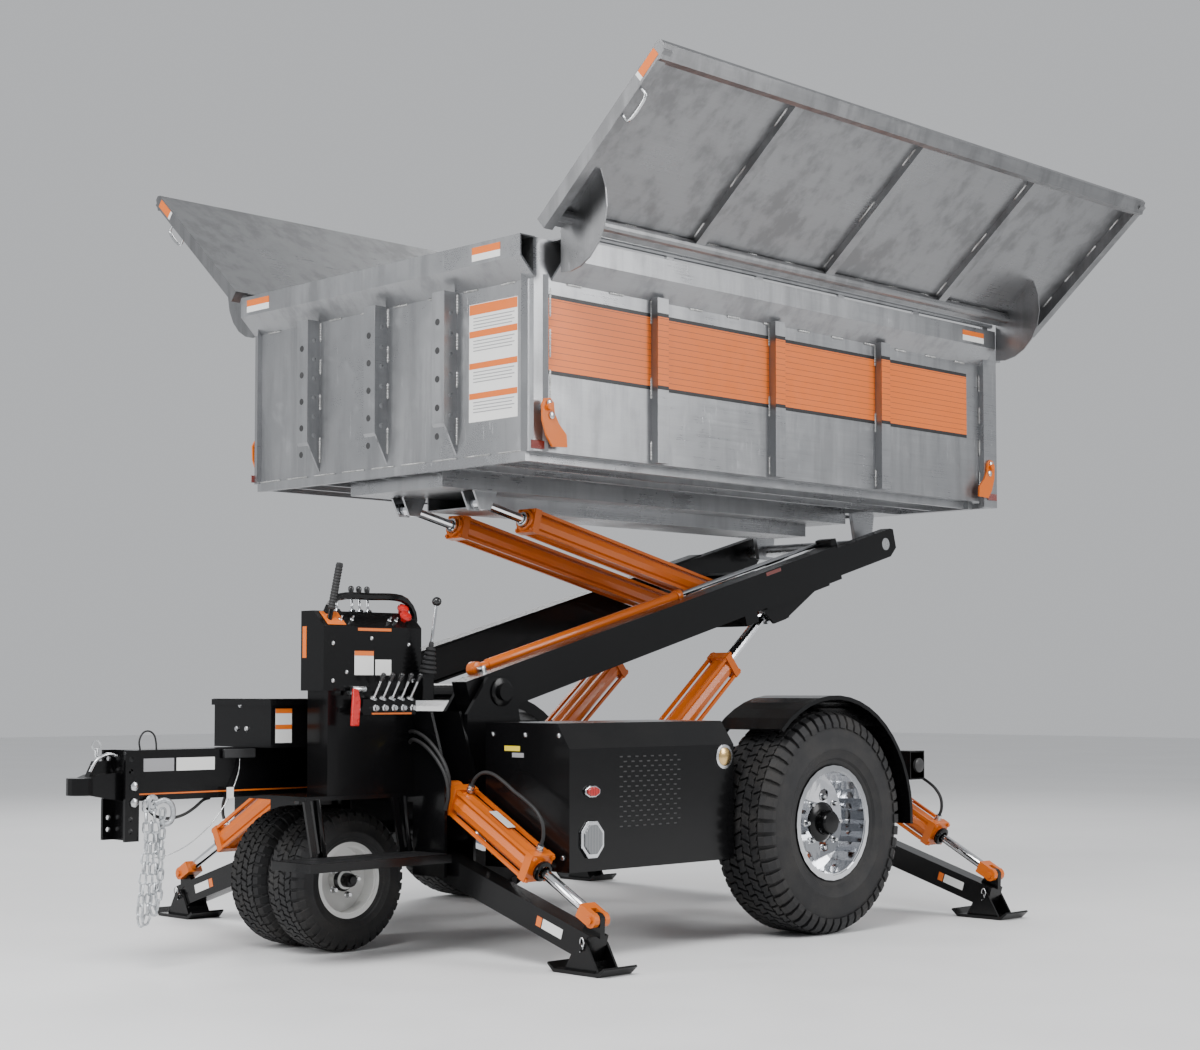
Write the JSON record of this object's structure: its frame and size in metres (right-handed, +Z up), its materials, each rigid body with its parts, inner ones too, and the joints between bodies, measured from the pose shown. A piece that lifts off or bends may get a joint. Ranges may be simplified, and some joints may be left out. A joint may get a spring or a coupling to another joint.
{
  "type": "lifting dump trailer",
  "caption": "Towable dump trailer with outriggers, ram-raised arms carrying a tilting aluminium box with fold-out side wings, control console and steered front wheels.",
  "frame": {"origin": "centre of the bounding box's base, on the ground", "axes": "+X to the tailgate, +Y to the side away from the control console, +Z up"},
  "size_m": [4.35, 3.0204, 3.0751],
  "materials": {
    "gloss_black": "gloss",
    "orange_paint": "gloss",
    "mill_aluminium": "brushed",
    "chrome": "polished",
    "tyre_rubber": "matte",
    "white_rim": "satin",
    "zinc_plate": "satin"
  },
  "bodies": {
    "chassis": {"main_frame": "gloss_black", "hitch_coupler": "gloss_black", "safety_chain": "zinc_plate", "toolbox": "gloss_black", "control_console": "gloss_black", "side_cover_near": "gloss_black", "side_cover_far": "gloss_black", "fender_near": "gloss_black", "fender_far": "gloss_black", "rear_axle": "gloss_black", "platform": "gloss_black"},
    "steering": {"steering_fork": "gloss_black"},
    "front_wheel_near": {"front_tyre_near": "tyre_rubber", "front_rim_near": "white_rim"},
    "rear_wheel_near": {"rear_tyre_near": "tyre_rubber", "rear_rim_near": "chrome"},
    "front_wheel_far": {"front_tyre_far": "tyre_rubber", "front_rim_far": "white_rim"},
    "rear_wheel_far": {"rear_tyre_far": "tyre_rubber", "rear_rim_far": "chrome"},
    "lift_arms": {"lift_arms": "gloss_black"},
    "reach": {"inner_arms": "gloss_black", "tilt_shaft": "zinc_plate"},
    "dump_box": {"box_body": "mill_aluminium", "box_subframe": "mill_aluminium", "pivot_shaft": "zinc_plate"},
    "tailgate": {"tailgate": "mill_aluminium"},
    "lift_barrel_near": {"lift_barrel_near": "orange_paint"},
    "lift_rod_near": {"lift_rod_near": "chrome"},
    "tilt_barrel_near": {"tilt_barrel_near": "orange_paint"},
    "tilt_stage_near": {"tilt_stage_near": "chrome"},
    "tilt_rod_near": {"tilt_rod_near": "chrome"},
    "wing_near": {"wing_near": "mill_aluminium"},
    "latch_front_near": {"latch_front_near": "orange_paint"},
    "latch_rear_near": {"latch_rear_near": "orange_paint"},
    "lift_barrel_far": {"lift_barrel_far": "orange_paint"},
    "lift_rod_far": {"lift_rod_far": "chrome"},
    "tilt_barrel_far": {"tilt_barrel_far": "orange_paint"},
    "tilt_stage_far": {"tilt_stage_far": "chrome"},
    "tilt_rod_far": {"tilt_rod_far": "chrome"},
    "wing_far": {"wing_far": "mill_aluminium"},
    "latch_front_far": {"latch_front_far": "orange_paint"},
    "latch_rear_far": {"latch_rear_far": "orange_paint"},
    "outrigger_leg_front_near": {"outrigger_leg_front_near": "gloss_black"},
    "outrigger_barrel_front_near": {"outrigger_barrel_front_near": "orange_paint"},
    "outrigger_rod_front_near": {"outrigger_rod_front_near": "orange_paint"},
    "outrigger_foot_front_near": {"outrigger_foot_front_near": "gloss_black"},
    "outrigger_leg_front_far": {"outrigger_leg_front_far": "gloss_black"},
    "outrigger_barrel_front_far": {"outrigger_barrel_front_far": "orange_paint"},
    "outrigger_rod_front_far": {"outrigger_rod_front_far": "orange_paint"},
    "outrigger_foot_front_far": {"outrigger_foot_front_far": "gloss_black"},
    "outrigger_leg_rear_near": {"outrigger_leg_rear_near": "gloss_black"},
    "outrigger_barrel_rear_near": {"outrigger_barrel_rear_near": "orange_paint"},
    "outrigger_rod_rear_near": {"outrigger_rod_rear_near": "orange_paint"},
    "outrigger_foot_rear_near": {"outrigger_foot_rear_near": "gloss_black"},
    "outrigger_leg_rear_far": {"outrigger_leg_rear_far": "gloss_black"},
    "outrigger_barrel_rear_far": {"outrigger_barrel_rear_far": "orange_paint"},
    "outrigger_rod_rear_far": {"outrigger_rod_rear_far": "orange_paint"},
    "outrigger_foot_rear_far": {"outrigger_foot_rear_far": "gloss_black"}
  },
  "joints": [
    {"name": "steering_turn", "type": "hinge", "parent": "chassis", "child": "steering", "pos_m": [-1.149, 0, 0.53], "axis": [0, 0, 1], "range_deg": [-30, 30]},
    {"name": "front_wheel_near_spin", "type": "hinge", "parent": "steering", "child": "front_wheel_near", "pos_m": [-1.149, -0.113, 0.255], "axis": [0, 1, 0], "continuous": true},
    {"name": "rear_wheel_near_spin", "type": "hinge", "parent": "chassis", "child": "rear_wheel_near", "pos_m": [0.48, -0.985, 0.427], "axis": [0, 1, 0], "continuous": true},
    {"name": "front_wheel_far_spin", "type": "hinge", "parent": "steering", "child": "front_wheel_far", "pos_m": [-1.149, 0.113, 0.255], "axis": [0, 1, 0], "continuous": true},
    {"name": "rear_wheel_far_spin", "type": "hinge", "parent": "chassis", "child": "rear_wheel_far", "pos_m": [0.48, 0.985, 0.427], "axis": [0, 1, 0], "continuous": true},
    {"name": "arm_lift", "type": "hinge", "parent": "chassis", "child": "lift_arms", "pos_m": [-0.67, 0, 0.93], "axis": [0, -1, 0], "range_deg": [-6, 20]},
    {"name": "arm_reach", "type": "slide", "parent": "lift_arms", "child": "reach", "axis": [0.9632, 0, 0.2689], "range_m": [0, 0.7]},
    {"name": "box_dump", "type": "hinge", "parent": "reach", "child": "dump_box", "pos_m": [1.73, 0, 1.6], "axis": [0, 1, 0], "range_deg": [-6, 45]},
    {"name": "tailgate_swing", "type": "hinge", "parent": "dump_box", "child": "tailgate", "pos_m": [2.003, 0, 2.445], "axis": [0, -1, 0], "range_deg": [0, 75]},
    {"name": "lift_barrel_near_turn", "type": "hinge", "parent": "chassis", "child": "lift_barrel_near", "pos_m": [0.08, -0.33, 0.5], "axis": [0, -1, 0], "range_deg": [-7.42, 23.3]},
    {"name": "lift_rod_near_slide", "type": "slide", "parent": "lift_barrel_near", "child": "lift_rod_near", "axis": [0.766, 0, 0.6428], "range_m": [-0.0941, 0.2954]},
    {"name": "tilt_barrel_near_turn", "type": "hinge", "parent": "reach", "child": "tilt_barrel_near", "pos_m": [1.1, -0.21, 1.28], "axis": [0, 1, 0], "range_deg": [-8.23, 53.87]},
    {"name": "tilt_stage_near_slide", "type": "slide", "parent": "tilt_barrel_near", "child": "tilt_stage_near", "axis": [-0.9751, 0, 0.2216], "range_m": [-0.0366, 0.2374]},
    {"name": "tilt_rod_near_slide", "type": "slide", "parent": "tilt_stage_near", "child": "tilt_rod_near", "axis": [-0.9751, 0, 0.2216], "range_m": [-0.0366, 0.2374]},
    {"name": "wing_near_fold", "type": "hinge", "parent": "dump_box", "child": "wing_near", "pos_m": [0.565, -0.885, 2.56], "axis": [-1, 0, 0], "range_deg": [0, 139]},
    {"name": "latch_front_near_turn", "type": "hinge", "parent": "dump_box", "child": "latch_front_near", "pos_m": [-0.81, -0.861, 1.932], "axis": [0, -1, 0], "range_deg": [0, 60]},
    {"name": "latch_rear_near_turn", "type": "hinge", "parent": "dump_box", "child": "latch_rear_near", "pos_m": [1.92, -0.861, 1.932], "axis": [0, 1, 0], "range_deg": [0, 60]},
    {"name": "lift_barrel_far_turn", "type": "hinge", "parent": "chassis", "child": "lift_barrel_far", "pos_m": [0.08, 0.33, 0.5], "axis": [0, -1, 0], "range_deg": [-7.42, 23.3]},
    {"name": "lift_rod_far_slide", "type": "slide", "parent": "lift_barrel_far", "child": "lift_rod_far", "axis": [0.766, 0, 0.6428], "range_m": [-0.0941, 0.2954]},
    {"name": "tilt_barrel_far_turn", "type": "hinge", "parent": "reach", "child": "tilt_barrel_far", "pos_m": [1.1, 0.21, 1.28], "axis": [0, 1, 0], "range_deg": [-8.23, 53.87]},
    {"name": "tilt_stage_far_slide", "type": "slide", "parent": "tilt_barrel_far", "child": "tilt_stage_far", "axis": [-0.9751, 0, 0.2216], "range_m": [-0.0366, 0.2374]},
    {"name": "tilt_rod_far_slide", "type": "slide", "parent": "tilt_stage_far", "child": "tilt_rod_far", "axis": [-0.9751, 0, 0.2216], "range_m": [-0.0366, 0.2374]},
    {"name": "wing_far_fold", "type": "hinge", "parent": "dump_box", "child": "wing_far", "pos_m": [0.565, 0.885, 2.56], "axis": [1, 0, 0], "range_deg": [0, 139]},
    {"name": "latch_front_far_turn", "type": "hinge", "parent": "dump_box", "child": "latch_front_far", "pos_m": [-0.81, 0.861, 1.932], "axis": [0, -1, 0], "range_deg": [0, 60]},
    {"name": "latch_rear_far_turn", "type": "hinge", "parent": "dump_box", "child": "latch_rear_far", "pos_m": [1.92, 0.861, 1.932], "axis": [0, 1, 0], "range_deg": [0, 60]},
    {"name": "outrigger_leg_front_near_swing", "type": "hinge", "parent": "chassis", "child": "outrigger_leg_front_near", "pos_m": [-0.91, -0.385, 0.333], "axis": [-1, 0, 0], "range_deg": [0, 40]},
    {"name": "outrigger_foot_front_near_swing", "type": "hinge", "parent": "outrigger_leg_front_near", "child": "outrigger_foot_front_near", "pos_m": [-0.91, -1.185, 0.088], "axis": [-1, 0, 0], "range_deg": [-12, 12]},
    {"name": "outrigger_barrel_front_near_turn", "type": "hinge", "parent": "chassis", "child": "outrigger_barrel_front_near", "pos_m": [-0.91, -0.462, 0.578], "axis": [-1, 0, 0], "range_deg": [-0.85, 42.39]},
    {"name": "outrigger_rod_front_near_slide", "type": "slide", "parent": "outrigger_barrel_front_near", "child": "outrigger_rod_front_near", "axis": [0, -0.8812, -0.4728], "range_m": [-0.182, 0.004]},
    {"name": "outrigger_leg_front_far_swing", "type": "hinge", "parent": "chassis", "child": "outrigger_leg_front_far", "pos_m": [-0.91, 0.385, 0.333], "axis": [1, 0, 0], "range_deg": [0, 40]},
    {"name": "outrigger_foot_front_far_swing", "type": "hinge", "parent": "outrigger_leg_front_far", "child": "outrigger_foot_front_far", "pos_m": [-0.91, 1.185, 0.088], "axis": [1, 0, 0], "range_deg": [-12, 12]},
    {"name": "outrigger_barrel_front_far_turn", "type": "hinge", "parent": "chassis", "child": "outrigger_barrel_front_far", "pos_m": [-0.91, 0.462, 0.578], "axis": [1, 0, 0], "range_deg": [-0.85, 42.39]},
    {"name": "outrigger_rod_front_far_slide", "type": "slide", "parent": "outrigger_barrel_front_far", "child": "outrigger_rod_front_far", "axis": [0, 0.8812, -0.4728], "range_m": [-0.182, 0.004]},
    {"name": "outrigger_leg_rear_near_swing", "type": "hinge", "parent": "chassis", "child": "outrigger_leg_rear_near", "pos_m": [1.41, -0.385, 0.333], "axis": [-1, 0, 0], "range_deg": [0, 40]},
    {"name": "outrigger_foot_rear_near_swing", "type": "hinge", "parent": "outrigger_leg_rear_near", "child": "outrigger_foot_rear_near", "pos_m": [1.41, -1.185, 0.088], "axis": [-1, 0, 0], "range_deg": [-12, 12]},
    {"name": "outrigger_barrel_rear_near_turn", "type": "hinge", "parent": "chassis", "child": "outrigger_barrel_rear_near", "pos_m": [1.41, -0.462, 0.578], "axis": [-1, 0, 0], "range_deg": [-0.85, 42.39]},
    {"name": "outrigger_rod_rear_near_slide", "type": "slide", "parent": "outrigger_barrel_rear_near", "child": "outrigger_rod_rear_near", "axis": [0, -0.8812, -0.4728], "range_m": [-0.182, 0.004]},
    {"name": "outrigger_leg_rear_far_swing", "type": "hinge", "parent": "chassis", "child": "outrigger_leg_rear_far", "pos_m": [1.41, 0.385, 0.333], "axis": [1, 0, 0], "range_deg": [0, 40]},
    {"name": "outrigger_foot_rear_far_swing", "type": "hinge", "parent": "outrigger_leg_rear_far", "child": "outrigger_foot_rear_far", "pos_m": [1.41, 1.185, 0.088], "axis": [1, 0, 0], "range_deg": [-12, 12]},
    {"name": "outrigger_barrel_rear_far_turn", "type": "hinge", "parent": "chassis", "child": "outrigger_barrel_rear_far", "pos_m": [1.41, 0.462, 0.578], "axis": [1, 0, 0], "range_deg": [-0.85, 42.39]},
    {"name": "outrigger_rod_rear_far_slide", "type": "slide", "parent": "outrigger_barrel_rear_far", "child": "outrigger_rod_rear_far", "axis": [0, 0.8812, -0.4728], "range_m": [-0.182, 0.004]}
  ],
  "couplings": [
    {"joint": "lift_barrel_near_turn", "follows": "arm_lift", "ratio": 1.1345},
    {"joint": "lift_rod_near_slide", "follows": "arm_lift", "m_per_rad": 0.8238},
    {"joint": "tilt_barrel_near_turn", "follows": "box_dump", "ratio": 1.1701},
    {"joint": "tilt_stage_near_slide", "follows": "box_dump", "m_per_rad": 0.2951},
    {"joint": "tilt_rod_near_slide", "follows": "box_dump", "m_per_rad": 0.2951},
    {"joint": "lift_barrel_far_turn", "follows": "arm_lift", "ratio": 1.1345},
    {"joint": "lift_rod_far_slide", "follows": "arm_lift", "m_per_rad": 0.8238},
    {"joint": "tilt_barrel_far_turn", "follows": "box_dump", "ratio": 1.1701},
    {"joint": "tilt_stage_far_slide", "follows": "box_dump", "m_per_rad": 0.2951},
    {"joint": "tilt_rod_far_slide", "follows": "box_dump", "m_per_rad": 0.2951},
    {"joint": "outrigger_barrel_front_near_turn", "follows": "outrigger_leg_front_near_swing", "ratio": 1.0385},
    {"joint": "outrigger_rod_front_near_slide", "follows": "outrigger_leg_front_near_swing", "m_per_rad": -0.255},
    {"joint": "outrigger_barrel_front_far_turn", "follows": "outrigger_leg_front_far_swing", "ratio": 1.0385},
    {"joint": "outrigger_rod_front_far_slide", "follows": "outrigger_leg_front_far_swing", "m_per_rad": -0.255},
    {"joint": "outrigger_barrel_rear_near_turn", "follows": "outrigger_leg_rear_near_swing", "ratio": 1.0385},
    {"joint": "outrigger_rod_rear_near_slide", "follows": "outrigger_leg_rear_near_swing", "m_per_rad": -0.255},
    {"joint": "outrigger_barrel_rear_far_turn", "follows": "outrigger_leg_rear_far_swing", "ratio": 1.0385},
    {"joint": "outrigger_rod_rear_far_slide", "follows": "outrigger_leg_rear_far_swing", "m_per_rad": -0.255}
  ]
}
